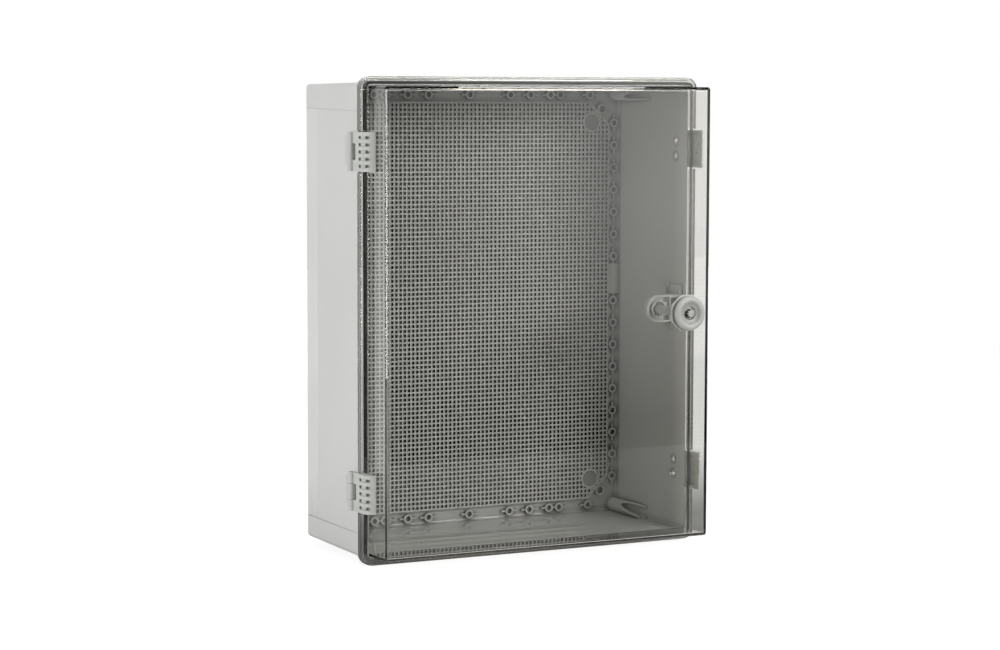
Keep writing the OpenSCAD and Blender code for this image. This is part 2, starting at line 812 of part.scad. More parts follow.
module lock_keeper() {
  color([0.66, 0.67, 0.66]) difference() {
    union() {
      at_lock() keeper_plate();
      raise(lock_rise, foot_h) plan_rect(foot_x - keeper_rib, foot_x, foot_w0, keeper_w);
      for (s = [-1, 1])
        raise(lock_rise + s * (keeper_r - keeper_rib / 2), keeper_rib) keeper_arm();
    }
    at_lock() translate([0, 0, key_w + keeper_floor]) cylinder(r = pocket_r, h = keeper_t);
    at_lock() translate([0, 0, key_w - over]) linear_extrude(keeper_t) {
      circle(shaft_r + key_gap);
      square([2 * (lug_r + slot_gap), lug_l + 2 * slot_gap], center = true);
    }
    for (s = [-1, 1])
      translate([0, -foot_screw_w, lock_rise + s * foot_screw_z])
        bar_x(foot_x - keeper_rib - over, foot_x + over, screw_r + screw_gap);
  }
}

module keeper_screws() {
  color([0.7, 0.7, 0.72])
    for (s = [-1, 1])
      translate([0, -foot_screw_w, lock_rise + s * foot_screw_z])
        wall_screw(foot_x - keeper_rib, foot_screw_x);
}

// Notches in the rim of the cover, where the clips sit
module clip_notches() {
  for (sx = [0, 1], sz = [-1, 1])
    mirror([sx, 0, 0]) raise(sz * clip_z, clip_h + 2 * notch_gap)
      plan_rect(notch_x, rim_x + over, lip_w - over, ledge_w + over);
}

module clear_cover() {
  color([0.75, 0.82, 0.86, 0.35]) difference() {
    union() {
      front() tub(skirt_x - skirt_lean, skirt_z - skirt_lean, face_w - face_r, face_r,
        skirt_x, skirt_z, under_w, face_r);
      front() translate([0, 0, under_w]) linear_extrude(cover_t) rounded(rim_x, rim_z, rim_r);
      front() translate([0, 0, lip_w]) linear_extrude(under_w - lip_w + weld) difference() {
        rounded(rim_x, rim_z, rim_r);
        rounded(rim_x - lip_t, rim_z - lip_t, rim_r - lip_t);
      }
    }
    front() tub(skirt_x - skirt_lean - cover_t, skirt_z - skirt_lean - cover_t, face_w - cover_t - skin_r,
      skin_r, skirt_x - cover_t, skirt_z - cover_t, under_w - over, skin_r);
    clip_notches();
    at_lock() translate([0, 0, face_w - cover_t - over])
      cylinder(r = bush_r + bush_gap, h = cover_t + 2 * over);
  }
}

// Seal with a flat band over the collar and a flap outside it
module gasket() {
  color([0.06, 0.06, 0.06]) difference() {
    front() translate([0, 0, flap_w]) linear_extrude(under_w - flap_w)
      rounded(rim_x - lip_t, rim_z - lip_t, rim_r - lip_t);
    front() translate([0, 0, flap_w - over]) linear_extrude(collar_w + seal_gap + over - flap_w)
      rounded(side_x + flap_gap, end_z + flap_gap, corner_r + flap_gap);
    front() translate([0, 0, collar_w]) linear_extrude(under_w + over - collar_w)
      rounded(side_x - wall_t, end_z - wall_t, inner_r);
    clip_notches();
  }
}

module lock_escutcheon() {
  color([0.6, 0.61, 0.6]) at_lock() difference() {
    union() {
      translate([0, 0, face_w]) linear_extrude(esc_t) intersection() {
        circle(esc_r);
        circle(esc_flat / sqrt(3), $fn = 6);
      }
      translate([0, 0, nut_w - nut_t - over]) cylinder(r = bush_r, h = face_w + weld - nut_w + nut_t + over);
    }
    translate([0, 0, nut_w - nut_t - 2 * over]) cylinder(r = shaft_r + shaft_gap, h = face_w);
  }
}

module lock_seal() {
  color([0.08, 0.08, 0.08]) at_lock() translate([0, 0, nut_w]) linear_extrude(seal_t) difference() {
    circle(nut_r);
    circle(bush_r);
  }
}

module lock_nut() {
  color([0.55, 0.56, 0.55]) at_lock() translate([0, 0, nut_w - nut_t]) linear_extrude(nut_t) difference() {
    circle(nut_r, $fn = 6);
    circle(bush_r);
  }
}

module lock_knob() {
  rim_mid = knob_r - knob_rim_r;
  rim_h0 = knob_h - knob_rim_r;
  color([0.72, 0.73, 0.72]) at_lock() translate([0, 0, knob_w]) rotate_extrude($fn = 96) difference() {
    union() {
      translate([rim_mid, rim_h0]) circle(knob_rim_r, $fn = 48);
      polygon([[0, 0], [knob_foot_r, 0],
        [rim_mid + knob_rim_r * cos(knob_flare), rim_h0 - knob_rim_r * sin(knob_flare)], [rim_mid, rim_h0],
        [rim_mid, knob_h - dish_d], [0, knob_h - dish_d]]);
    }
    translate([0, knob_h - dish_d - recess_d]) square([recess_r, knob_h]);
    translate([0, -over]) square([shaft_r, over + shaft_seat]);
  }
}

module lock_core() {
  color([0.5, 0.51, 0.5]) at_lock() translate([0, 0, recess_w]) {
    cylinder(r = recess_r - core_gap, h = core_t - star_h);
    linear_extrude(core_t)
      for (k = [1:star_turns])
        rotate(90 * k / star_turns) square(star_w, center = true);
  }
}

module lock_shaft() {
  color([0.6, 0.6, 0.6]) difference() {
    at_lock() translate([0, 0, shaft_w]) cylinder(r = shaft_r, h = knob_w + shaft_seat - shaft_w);
    at_lock() translate([0, -shaft_r - over, lug_w]) rotate([-90, 0, 0])
      cylinder(r = lug_r, h = 2 * (shaft_r + over));
  }
}

module lock_cross_pin() {
  color([0.75, 0.75, 0.76]) at_lock() translate([0, -lug_l / 2, lug_w])
    rotate([-90, 0, 0]) cylinder(r = lug_r, h = lug_l);
}

base_box();
mounting_plate();
hinge_bracket_upper();
hinge_bracket_lower();
latch_bracket_upper();
latch_bracket_lower();
hinge_pin_upper();
hinge_pin_lower();
latch_pin_upper();
latch_pin_lower();
hinge_screws();
latch_screws();
lock_keeper();
keeper_screws();
clear_cover();
gasket();
hinge_clip_upper();
hinge_clip_lower();
lock_escutcheon();
lock_seal();
lock_nut();
lock_knob();
lock_core();
lock_shaft();
lock_cross_pin();
latch_clip_upper();
latch_clip_lower();
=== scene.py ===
import math
import bpy
import bmesh
from mathutils import Matrix, Vector
from mathutils.geometry import delaunay_2d_cdt


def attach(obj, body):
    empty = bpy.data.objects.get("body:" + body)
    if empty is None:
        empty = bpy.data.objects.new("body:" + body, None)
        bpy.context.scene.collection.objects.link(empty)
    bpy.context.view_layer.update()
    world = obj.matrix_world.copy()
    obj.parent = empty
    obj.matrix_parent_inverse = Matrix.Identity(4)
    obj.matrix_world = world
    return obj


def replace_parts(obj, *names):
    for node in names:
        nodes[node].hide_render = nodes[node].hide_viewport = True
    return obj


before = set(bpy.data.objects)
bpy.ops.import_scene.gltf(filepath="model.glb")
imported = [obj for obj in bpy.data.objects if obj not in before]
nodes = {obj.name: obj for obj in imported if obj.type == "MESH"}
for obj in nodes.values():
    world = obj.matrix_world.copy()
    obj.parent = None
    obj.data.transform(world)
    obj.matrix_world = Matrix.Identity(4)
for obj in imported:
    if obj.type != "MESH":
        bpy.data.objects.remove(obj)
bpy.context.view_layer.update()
mm = 0.001
print("frame loaded:", len(nodes), "nodes")

# camera, where the picture was taken from
viewpoint = {"at": (-1.29347, -2.59826, 0.23731), "yaw": 27.195, "pitch": 5.1, "roll": 0.155,
             "lens": 95.117, "sensor": 36.0, "clip": (0.05, 50)}


def addObject(name, data):
    obj = bpy.data.objects.new(name, data)
    bpy.context.scene.collection.objects.link(obj)
    return obj


def placeCamera(view):
    yaw, pitch, roll = (math.radians(view[k]) for k in ("yaw", "pitch", "roll"))
    ahead = Vector((math.sin(yaw) * math.cos(pitch), math.cos(yaw) * math.cos(pitch), -math.sin(pitch)))
    right = Vector((math.cos(yaw), -math.sin(yaw), 0))
    up = right.cross(ahead)
    across = math.cos(roll) * right + math.sin(roll) * up
    upright = math.cos(roll) * up - math.sin(roll) * right
    turn = Matrix((across, upright, -ahead)).transposed().to_4x4()
    turn.translation = view["at"]
    data = bpy.data.cameras.new("viewpoint")
    data.lens, data.sensor_width = view["lens"], view["sensor"]
    data.clip_start, data.clip_end = view["clip"]
    camera = addObject("viewpoint", data)
    camera.matrix_world = turn
    bpy.context.scene.camera = camera


placeCamera(viewpoint)
bpy.context.scene.view_settings.view_transform = "Standard"
print("camera set")


def blankMaterial(name):
    mat = bpy.data.materials.new(name)
    mat.use_nodes = True
    mat.node_tree.nodes.clear()
    return mat, mat.node_tree


def put(tree, kind, x, y, **values):
    node = tree.nodes.new(kind)
    node.location = (x, y)
    for key, value in values.items():
        setattr(node, key, value)
    return node


def setInputs(node, values):
    for key, value in values.items():
        node.inputs[key].default_value = value
    return node


def noise(tree, x, y, source, scale, detail):
    node = put(tree, "ShaderNodeTexNoise", x, y)
    setInputs(node, {"Scale": scale, "Detail": detail, "Roughness": 0.5})
    tree.links.new(source, node.inputs["Vector"])
    return node.outputs["Fac"]


# span is the part of the source that counts; a noise seldom leaves 0.3 to 0.7
def remap(tree, x, y, source, to, span=(0.3, 0.7)):
    node = put(tree, "ShaderNodeMapRange", x, y)
    setInputs(node, {"From Min": span[0], "From Max": span[1], "To Min": to[0], "To Max": to[1]})
    tree.links.new(source, node.inputs["Value"])
    return node.outputs["Result"]


# each input is a socket or a fixed number
def maths(tree, x, y, operation, *inputs):
    node = put(tree, "ShaderNodeMath", x, y, operation=operation)
    for socket, value in zip(node.inputs, inputs):
        if isinstance(value, (int, float)):
            socket.default_value = value
        else:
            tree.links.new(value, socket)
    return node.outputs[0]


def largest(tree, x, y, first, *others):
    for i, other in enumerate(others):
        first = maths(tree, x + 70 * i, y, "MAXIMUM", first, other)
    return first


def axes(tree, x, y, source):
    node = put(tree, "ShaderNodeSeparateXYZ", x, y)
    tree.links.new(source, node.inputs[0])
    return node.outputs


def blendColours(tree, x, y, factor, first, second):
    node = put(tree, "ShaderNodeMix", x, y, data_type="RGBA")
    tree.links.new(factor, node.inputs["Factor"])
    for socket, value in ((node.inputs[6], first), (node.inputs[7], second)):
        if isinstance(value, tuple):
            socket.default_value = value + (1,)
        else:
            tree.links.new(value, socket)
    return node.outputs[2]


def mixShaders(tree, x, y, factor, first, second):
    node = put(tree, "ShaderNodeMixShader", x, y)
    for socket, source in zip(node.inputs, (factor, first, second)):
        tree.links.new(source, socket)
    return node.outputs[0]


# fine relief, on softened edges where an edge radius is given
def surfaceRelief(tree, x, y, height, look):
    bump = put(tree, "ShaderNodeBump", x, y)
    setInputs(bump, {"Strength": look["relief"], "Distance": look["depth"]})
    tree.links.new(height, bump.inputs["Height"])
    if look.get("edge"):
        edge = put(tree, "ShaderNodeBevel", x - 200, y - 100, samples=4)
        edge.inputs["Radius"].default_value = look["edge"]
        tree.links.new(edge.outputs["Normal"], bump.inputs["Normal"])
    return bump.outputs["Normal"]


def solidShader(tree, colour, rough, normal, fixed):
    shader = setInputs(put(tree, "ShaderNodeBsdfPrincipled", -150, 0), fixed)
    tree.links.new(colour, shader.inputs["Base Color"])
    tree.links.new(rough, shader.inputs["Roughness"])
    tree.links.new(normal, shader.inputs["Normal"])
    out = put(tree, "ShaderNodeOutputMaterial", 150, 0)
    tree.links.new(shader.outputs[0], out.inputs["Surface"])


# moulded plastic: faint mottle in the colour, fine grain in the surface, softened edges, and, where a look asks for
# it, painted shade in holes and corners
def mouldedPlastic(name, look):
    mat, tree = blankMaterial(name)
    place = put(tree, "ShaderNodeTexCoord", -1100, 0).outputs["Object"]
    mottle = remap(tree, -700, 250, noise(tree, -900, 250, place, look["mottle"], 3), (0, 1))
    colour = blendColours(tree, -500, 250, mottle, look["dark"], look["light"])
    if look.get("deep"):
        # painted shade: the walls of the holes are painted darker a little way below the face, standing in for the
        # shade inside the holes
        depth = remap(tree, -700, 500, axes(tree, -900, 500, place)["Y"], (0, 1), look["holeShadeSpan"])
        colour = blendColours(tree, -300, 350, depth, colour, look["deep"])
    if look.get("creviceShade"):
        # painted shade: corners, slots and blind holes are darkened in the colour by ambient occlusion, standing in
        # for the shade that falls there
        nook = put(tree, "ShaderNodeAmbientOcclusion", -700, 700, samples=6, only_local=look.get("alone", True))
        nook.inputs["Distance"].default_value = look["reach"]
        unshaded = remap(tree, -500, 700, nook.outputs["AO"], (0, 1), look["hold"])
        colour = blendColours(tree, -300, 500, unshaded, look["creviceShade"], colour)
    grain = noise(tree, -900, -50, place, look["grain"], 2)
    rough = remap(tree, -700, -50, grain, look["rough"])
    solidShader(tree, colour, rough, surfaceRelief(tree, -400, -250, grain, look), {"IOR": 1.5})
    return mat


# in these looks the colour for corners, slots and blind holes is painted shade
caseLook = {"dark": (0.585, 0.588, 0.578), "light": (0.622, 0.624, 0.612), "mottle": 7, "grain": 1500,
            "rough": (0.36, 0.5), "insideRough": (0.03, 0.06), "relief": 0.25, "insideRelief": 0.015,
            "depth": 0.00006, "edge": 0.0004, "creviceShade": (0.17, 0.17, 0.165), "reach": 0.009, "hold": (0.3, 0.9),
            "mouth": (0.1912, 0.2417), "postAt": (0.1509, 0.2009), "postRound": (0.0087, 0.0093),
            "postDeep": (-0.0065, -0.0055), "postShade": (0.33, 0.33, 0.325)}
# the plate's colour for the walls of its holes is painted shade
plateLook = {"dark": (0.575, 0.578, 0.565), "light": (0.62, 0.623, 0.608), "mottle": 14, "grain": 1800,
             "rough": (0.4, 0.55), "relief": 0.2, "depth": 0.00005, "deep": (0.02, 0.02, 0.019),
             "holeShadeSpan": (-0.00925, -0.0086)}
clipLook = {"dark": (0.5, 0.515, 0.485), "light": (0.545, 0.56, 0.53), "mottle": 40, "grain": 2200,
            "rough": (0.4, 0.55), "relief": 0.25, "depth": 0.00006, "edge": 0.0002,
            "creviceShade": (0.1, 0.105, 0.095), "reach": 0.003, "hold": (0.25, 0.8)}
# painted light: the latch clips are the same plastic as the other clips, painted lighter to stand in for light that
# reaches them only weakly
latchLitLook = dict(clipLook, dark=(0.72, 0.735, 0.7), light=(0.77, 0.785, 0.75))
knobLook = {"dark": (0.48, 0.48, 0.45), "light": (0.525, 0.525, 0.495), "mottle": 45, "grain": 2200,
            "rough": (0.28, 0.4), "relief": 0.12, "depth": 0.00005, "edge": 0.0003,
            "creviceShade": (0.12, 0.12, 0.11), "reach": 0.006, "hold": (0.3, 0.95), "alone": False}
rosetteLook = dict(knobLook, dark=(0.78, 0.785, 0.77), light=(0.83, 0.835, 0.815))
keeperLook = {"dark": (0.585, 0.588, 0.578), "light": (0.622, 0.624, 0.612), "mottle": 45, "grain": 2000,
              "rough": (0.4, 0.5), "relief": 0.2, "depth": 0.00005, "edge": 0.0003,
              "creviceShade": (0.3, 0.3, 0.295), "reach": 0.005, "hold": (0.15, 0.7)}
nutLook = {"dark": (0.40, 0.41, 0.40), "light": (0.47, 0.48, 0.465), "mottle": 50, "grain": 2000,
           "rough": (0.4, 0.55), "relief": 0.2, "depth": 0.00005, "edge": 0.0003}
rubberLook = {"dark": (0.012, 0.012, 0.012), "light": (0.026, 0.026, 0.025), "mottle": 60, "grain": 2600,
              "rough": (0.62, 0.85), "relief": 0.4, "depth": 0.00008, "edge": 0.0003}


# the box: satin with a fine texture outside, smoother and shinier inside the mouth, with painted shade on the post
# tops
def boxPlastic(name, look):
    mat = mouldedPlastic(name, look)
    tree = mat.node_tree
    shader, bump, coords = (next(n for n in tree.nodes if n.type == kind)
                            for kind in ("BSDF_PRINCIPLED", "BUMP", "TEX_COORD"))
    place = axes(tree, -900, -500, coords.outputs["Object"])
    off = [maths(tree, -700, -500, "ABSOLUTE", place[axis]) for axis in "XZ"]
    inside = maths(tree, -380, -500, "MULTIPLY", *(maths(tree, -540, -500, "LESS_THAN", size, reach)
                                                   for size, reach in zip(off, look["mouth"])))
    grain = bump.inputs["Height"].links[0].from_socket
    pick = put(tree, "ShaderNodeMix", -200, -500, data_type="FLOAT")
    tree.links.new(inside, pick.inputs["Factor"])
    tree.links.new(shader.inputs["Roughness"].links[0].from_socket, pick.inputs[2])
    tree.links.new(remap(tree, -380, -700, grain, look["insideRough"]), pick.inputs[3])
    tree.links.new(pick.outputs[0], shader.inputs["Roughness"])
    height = remap(tree, -200, -700, inside, (look["relief"], look["insideRelief"]), (0, 1))
    tree.links.new(height, bump.inputs["Strength"])
    # painted shade: the tops of the four posts are painted darker than the plate round them, standing in for the
    # shade on the post tops inside the rings
    squares = []
    for size, middle in zip(off, look["postAt"]):
        gap = maths(tree, -540, -900, "SUBTRACT", size, middle)
        squares.append(maths(tree, -380, -900, "MULTIPLY", gap, gap))
    apart = maths(tree, -220, -900, "ADD", *squares)
    near = remap(tree, -60, -900, apart, (1, 0), [r ** 2 for r in look["postRound"]])
    front = remap(tree, -60, -1100, place["Y"], (1, 0), look["postDeep"])
    top = maths(tree, 60, -1100, "MULTIPLY", near, front)
    colour = shader.inputs["Base Color"].links[0].from_socket
    tree.links.new(blendColours(tree, 100, -900, top, colour, look["postShade"]), shader.inputs["Base Color"])
    return mat


# plated steel: drawn lines and a little tarnish
steelLook = {"dark": (0.42, 0.42, 0.42), "light": (0.66, 0.66, 0.65), "rough": (0.22, 0.42), "lines": 900,
             "stretch": (1, 1, 0.15), "stain": 180, "relief": 0.15, "depth": 0.00004, "edge": 0.0003}


def platedSteel(name, look):
    mat, tree = blankMaterial(name)
    place = put(tree, "ShaderNodeTexCoord", -1100, 0).outputs["Object"]
    stretch = put(tree, "ShaderNodeMapping", -950, 0)
    stretch.inputs["Scale"].default_value = look["stretch"]
    tree.links.new(place, stretch.inputs["Vector"])
    lines = noise(tree, -750, 100, stretch.outputs[0], look["lines"], 3)
    stain = remap(tree, -550, 300, noise(tree, -750, 350, place, look["stain"], 3), (0, 1))
    colour = blendColours(tree, -350, 300, stain, look["dark"], look["light"])
    rough = remap(tree, -550, 0, lines, look["rough"])
    solidShader(tree, colour, rough, surfaceRelief(tree, -350, -250, lines, look), {"Metallic": 1})
    return mat


# clear cover: glossy, a trace of moulding waves; lamps and soft light pass straight through it
clearLook = {"tint": (0.995, 0.996, 0.994), "ior": 1.5, "rough": (0.0, 0.015), "haze": 60, "hazeSpan": (0.35, 0.9),
             "waves": 9, "relief": 0.004, "depth": 0.0003, "shade": (0.955, 0.955, 0.95),
             "depthTint": (0.4, 0.38, 0.28), "density": 60.0}


def clearPlastic(name, look):
    mat, tree = blankMaterial(name)
    place = put(tree, "ShaderNodeTexCoord", -1100, 0).outputs["Object"]
    waves = noise(tree, -900, -200, place, look["waves"], 1)
    haze = noise(tree, -900, 100, place, look["haze"], 4)
    shader = put(tree, "ShaderNodeBsdfPrincipled", -450, 0)
    setInputs(shader, {"Base Color": look["tint"] + (1,), "IOR": look["ior"], "Transmission Weight": 1.0})
    tree.links.new(remap(tree, -700, 100, haze, look["rough"], look["hazeSpan"]), shader.inputs["Roughness"])
    tree.links.new(surfaceRelief(tree, -700, -200, waves, look), shader.inputs["Normal"])
    through = put(tree, "ShaderNodeBsdfTransparent", -450, 300)
    through.inputs["Color"].default_value = look["shade"] + (1,)
    path = put(tree, "ShaderNodeLightPath", -450, 650)
    surface = shader.outputs[0]
    for i, kind in enumerate(("Is Diffuse Ray", "Is Shadow Ray")):
        surface = mixShaders(tree, -100 + 220 * i, 100, path.outputs[kind], surface, through.outputs[0])
    smoke = put(tree, "ShaderNodeVolumeAbsorption", 120, -150)
    setInputs(smoke, {"Color": look["depthTint"] + (1,), "Density": look["density"]})
    out = put(tree, "ShaderNodeOutputMaterial", 400, 100)
    tree.links.new(surface, out.inputs["Surface"])
    tree.links.new(smoke.outputs[0], out.inputs["Volume"])
    return mat


casePlastic = boxPlastic("casePlastic", caseLook)
platePlastic = mouldedPlastic("platePlastic", plateLook)
clipPlastic = mouldedPlastic("clipPlastic", clipLook)
latchLitPlastic = mouldedPlastic("latchLitPlastic", latchLitLook)
knobPlastic = mouldedPlastic("knobPlastic", knobLook)
rosettePlastic = mouldedPlastic("rosettePlastic", rosetteLook)
keeperPlastic = mouldedPlastic("keeperPlastic", keeperLook)
nutPlastic = mouldedPlastic("nutPlastic", nutLook)
sealRubber = mouldedPlastic("sealRubber", rubberLook)
screwSteel = platedSteel("screwSteel", steelLook)
headSteel = platedSteel("headSteel", dict(steelLook, dark=(0.62, 0.6, 0.55), light=(0.82, 0.8, 0.74),
                                          rough=(0.26, 0.36)))
starSteel = platedSteel("starSteel", dict(steelLook, dark=(0.36, 0.36, 0.35), light=(0.5, 0.5, 0.48),
                                          rough=(0.3, 0.45)))
coverClear = clearPlastic("coverClear", clearLook)
print("finishes made")

finishes = {"base_box": casePlastic, "lock_keeper": keeperPlastic, "gasket": sealRubber, "lock_seal": sealRubber,
            "lock_escutcheon": rosettePlastic, "lock_knob": knobPlastic, "lock_nut": nutPlastic,
            "lock_shaft": nutPlastic, "lock_core": starSteel, "lock_cross_pin": screwSteel,
            "latch_clip_upper": latchLitPlastic, "latch_clip_lower": latchLitPlastic}
for name, obj in nodes.items():
    finish = finishes.get(name)
    if finish is None:
        finish = headSteel if "screws" in name else screwSteel if "pin" in name else clipPlastic
    for materialSlot in obj.material_slots:
        materialSlot.material = finish
print("CAD nodes dressed")


# smooth faces, with a hard edge where the faces meet at more than sharp degrees
def markEdges(bm, sharp):
    for face in bm.faces:
        face.smooth = True
    for edge in bm.edges:
        edge.smooth = edge.calc_face_angle(0) < math.radians(sharp)


def addPiece(name, bm, finish, body, sharp=35):
    bmesh.ops.recalc_face_normals(bm, faces=bm.faces)
    markEdges(bm, sharp)
    mesh = bpy.data.meshes.new(name)
    bm.to_mesh(mesh)
    bm.free()
    mesh.materials.append(finish)
    obj = addObject(name, mesh)
    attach(obj, body)
    return obj


# one loop of points round a rounded rectangle, in the front view, out mm off the wall
def rimLoop(halfX, halfZ, radius, out, steps=8, hold=0.5):
    points = []
    for sx, sz, start in ((1, 1, 0), (-1, 1, 90), (-1, -1, 180), (1, -1, 270)):
        midX, midZ = sx * (halfX - radius), sz * (halfZ - radius)
        arc = []
        for k in range(steps + 1):
            a = math.radians(start + 90 * k / steps)
            arc.append((midX + radius * math.cos(a), midZ + radius * math.sin(a)))
        first, last = math.radians(start), math.radians(start + 90)
        points.append((arc[0][0] + hold * math.sin(first), arc[0][1] - hold * math.cos(first)))
        points += arc
        points.append((arc[-1][0] - hold * math.sin(last), arc[-1][1] + hold * math.cos(last)))
    return [Vector((x * mm, -out * mm, z * mm)) for x, z in points]


# a loop round an axis from front to back; the radius is a number or a function of the angle
def roundLoop(middle, radius, out, count):
    loop = []
    for k in range(count):
        a = 2 * math.pi * k / count
        r = radius(a) if callable(radius) else radius
        loop.append(Vector(((middle[0] + r * math.cos(a)) * mm, -out * mm, (middle[1] + r * math.sin(a)) * mm)))
    return loop


def loftLoops(bm, loops, closed=False):
    rings = [[bm.verts.new(p) for p in loop] for loop in loops]
    for a, b in zip(rings, rings[1:] + (rings[:1] if closed else [])):
        for i in range(len(a)):
            j = (i + 1) % len(a)
            bm.faces.new((a[i], a[j], b[j], b[i]))
    return rings


def capEnds(bm, rings):
    bm.faces.new(rings[0])
    bm.faces.new(rings[-1])


# x and z of the axis that the lock turns on
lockAxis = (160.5, 1.2)

# the holds are the distances of the rows that keep a bend from spreading
clearCover = {"face": 200.0, "skin": 3.0, "faceX": 189.7, "faceZ": 240.0, "bevel": 1.8, "soft": 0.8, "corner": 0.8,
              "lean": 0.5, "rimX": 198.0, "rimZ": 250.0, "rimRound": 12.0, "flange": 158.0, "lipFoot": 148.3,
              "lip": 3.0, "fillet": 1.2, "edge": 0.9, "lipRound": 0.5, "flangeRound": 0.8, "rootRound": 0.6,
              "innerRound": 1.0, "leastRound": 0.3, "hold": 0.4, "wideHold": 0.5, "skirtHold": 0.6,
              "lockHole": 8.2, "lockSides": 48, "notchX": 193.8, "notchZ": 174.0, "notchHalf": 21.5,
              "notchPast": 6.0, "notchDeep": 16.0, "notchMiddle": 5.0}


# section of the cover from the outside of the face round the lip to the inside of the face;
# a row is half the width, half the height, the corner radius and the distance off the wall
def coverLoops(c):
    rows = []
    face, skin, flange, foot = (c[k] for k in ("face", "skin", "flange", "lipFoot"))
    b, f, e, hold, wide = (c[k] for k in ("bevel", "fillet", "edge", "hold", "wideHold"))
    under = flange - skin
    down = face - b - hold
    rim = (c["rimX"], c["rimZ"], c["rimRound"])

    def skirt(out, inner=0.0):
        grow = (down - out) * c["lean"] / (down - under) - inner
        return c["faceX"] + grow, c["faceZ"] + grow

    def moved(place, shift):
        return tuple(v + shift for v in place)

    def turn(middle, out, r, start, end, steps=5):
        for k in range(steps + 1):
            a = math.radians(start + (end - start) * k / steps)
            rows.append(moved(middle, r * math.cos(a)) + (out + r * math.sin(a),))

    # the bevel of the face edge: two short bends with a flat between them
    bend = c["soft"]
    reach = bend * math.tan(math.radians(22.5))
    x, z = c["faceX"] - b - reach, c["faceZ"] - b - reach
    rows.append((x - wide, z - wide, c["corner"], face))
    turn((x, z, c["corner"]), face - bend, bend, 90, 45)
    corner = c["corner"] + b + reach
    middle = moved((c["faceX"], c["faceZ"], corner), -bend)
    first, last = rows[-1], moved(middle + (face - b - reach,), bend * math.cos(math.radians(45)))
    for t in (0.1, 0.9):
        rows.append(tuple(u + (v - u) * t for u, v in zip(first, last)))
    turn(middle, face - b - reach, bend, 45, 0)
    # down the skirt and round the fillet onto the flange
    for out in (face - b - reach - c["skirtHold"], flange + f + wide):
        rows.append(skirt(out) + (corner, out))
    middle = moved(skirt(flange + f) + (corner,), f)
    turn(middle, flange + f, f, 180, 270)
    rows.append(moved(middle, hold) + (flange,))
    # the rim edge, and the lip with its rounded foot
    rows.append(moved(rim, -e - hold) + (flange,))
    turn(moved(rim, -e), flange - e, e, 90, 0)
    r = c["lipRound"]
    rows += [rim + (flange - e - hold,), rim + (foot + r + hold,)]
    turn(moved(rim, -r), foot + r, r, 0, -90, 4)
    turn(moved(rim, r - c["lip"]), foot + r, r, -90, -180, 4)
    # up inside the lip and along the underside of the flange
    inside = moved(rim, -c["lip"])
    rows.append(inside + (foot + r + hold,))
    r = c["flangeRound"]
    rows.append(inside + (under - r - hold,))
    turn(moved(inside, -r), under - r, r, 0, 90, 4)
    rows.append(moved(inside, -r - hold) + (under,))
    # up the inside of the skirt to the inside of the face
    corner -= skin
    r, top = c["rootRound"], c["innerRound"]
    inside = skirt(under + r, skin) + (corner,)
    rows.append(moved(inside, r + hold) + (under,))
    turn(moved(inside, r), under + r, r, 270, 180, 4)
    for out in (under + r + hold, face - skin - top - hold):
        rows.append(skirt(out, skin) + (corner, out))
    inside = moved(skirt(face - skin - top, skin) + (corner,), -top)
    turn(inside, face - skin - top, top, 0, 90)
    rows.append((inside[0] - wide, inside[1] - wide, inside[2], face - skin))
    return [rimLoop(hx, hz, max(rad, c["leastRound"]), out) for hx, hz, rad, out in rows]


# notches for the four clips, cut out of the cover rim and the seal
def cutNotches(obj, c):
    outer = c["rimX"] + c["notchPast"]
    size = ((outer - c["notchX"]) * mm, c["notchDeep"] * mm, 2 * c["notchHalf"] * mm)
    cutter = bmesh.new()
    for sx in (-1, 1):
        for sz in (-1, 1):
            middle = (sx * (outer + c["notchX"]) / 2 * mm, -(c["lipFoot"] + c["notchMiddle"]) * mm,
                      sz * c["notchZ"] * mm)
            made = bmesh.ops.create_cube(cutter, size=1)["verts"]
            bmesh.ops.scale(cutter, vec=size, verts=made)
            bmesh.ops.translate(cutter, vec=middle, verts=made)
    cutMesh = bpy.data.meshes.new("notches")
    cutter.to_mesh(cutMesh)
    cutter.free()
    cut = addObject("notches", cutMesh)
    step = obj.modifiers.new("notches", "BOOLEAN")
    step.operation, step.solver, step.object = "DIFFERENCE", "EXACT", cut
    bpy.context.view_layer.update()
    cutShape = bpy.data.meshes.new_from_object(obj.evaluated_get(bpy.context.evaluated_depsgraph_get()))
    obj.modifiers.clear()
    obj.data = cutShape
    bpy.data.objects.remove(cut)
    bm = bmesh.new()
    bm.from_mesh(cutShape)
    markEdges(bm, 35)
    bm.to_mesh(cutShape)
    bm.free()


def buildCover(c):
    bm = bmesh.new()
    rings = loftLoops(bm, coverLoops(c))
    hole = loftLoops(bm, [roundLoop(lockAxis, c["lockHole"], out, c["lockSides"])
                          for out in (c["face"], c["face"] - c["skin"])])
    for ring, bore in ((rings[0], hole[0]), (rings[-1], hole[1])):
        edges = []
        for loop in (ring, bore):
            for i in range(len(loop)):
                edges.append(bm.edges.get((loop[i], loop[(i + 1) % len(loop)])))
        bmesh.ops.triangle_fill(bm, edges=edges, use_beauty=True)
    obj = addPiece("cover_clear", bm, coverClear, "door")
    cutNotches(obj, c)
    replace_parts(obj, "clear_cover")


buildCover(clearCover)
print("clear cover built")

sealBead = {"inX": 190.5, "inZ": 242.4, "inRound": 5.0, "outX": 194.9, "outZ": 245.2, "outRound": 7.2,
            "flapX": 193.9, "flapZ": 244.4, "flapRound": 6.4, "top": 154.98, "foot": 153.35, "flapFoot": 151.2,
            "soft": 0.4}


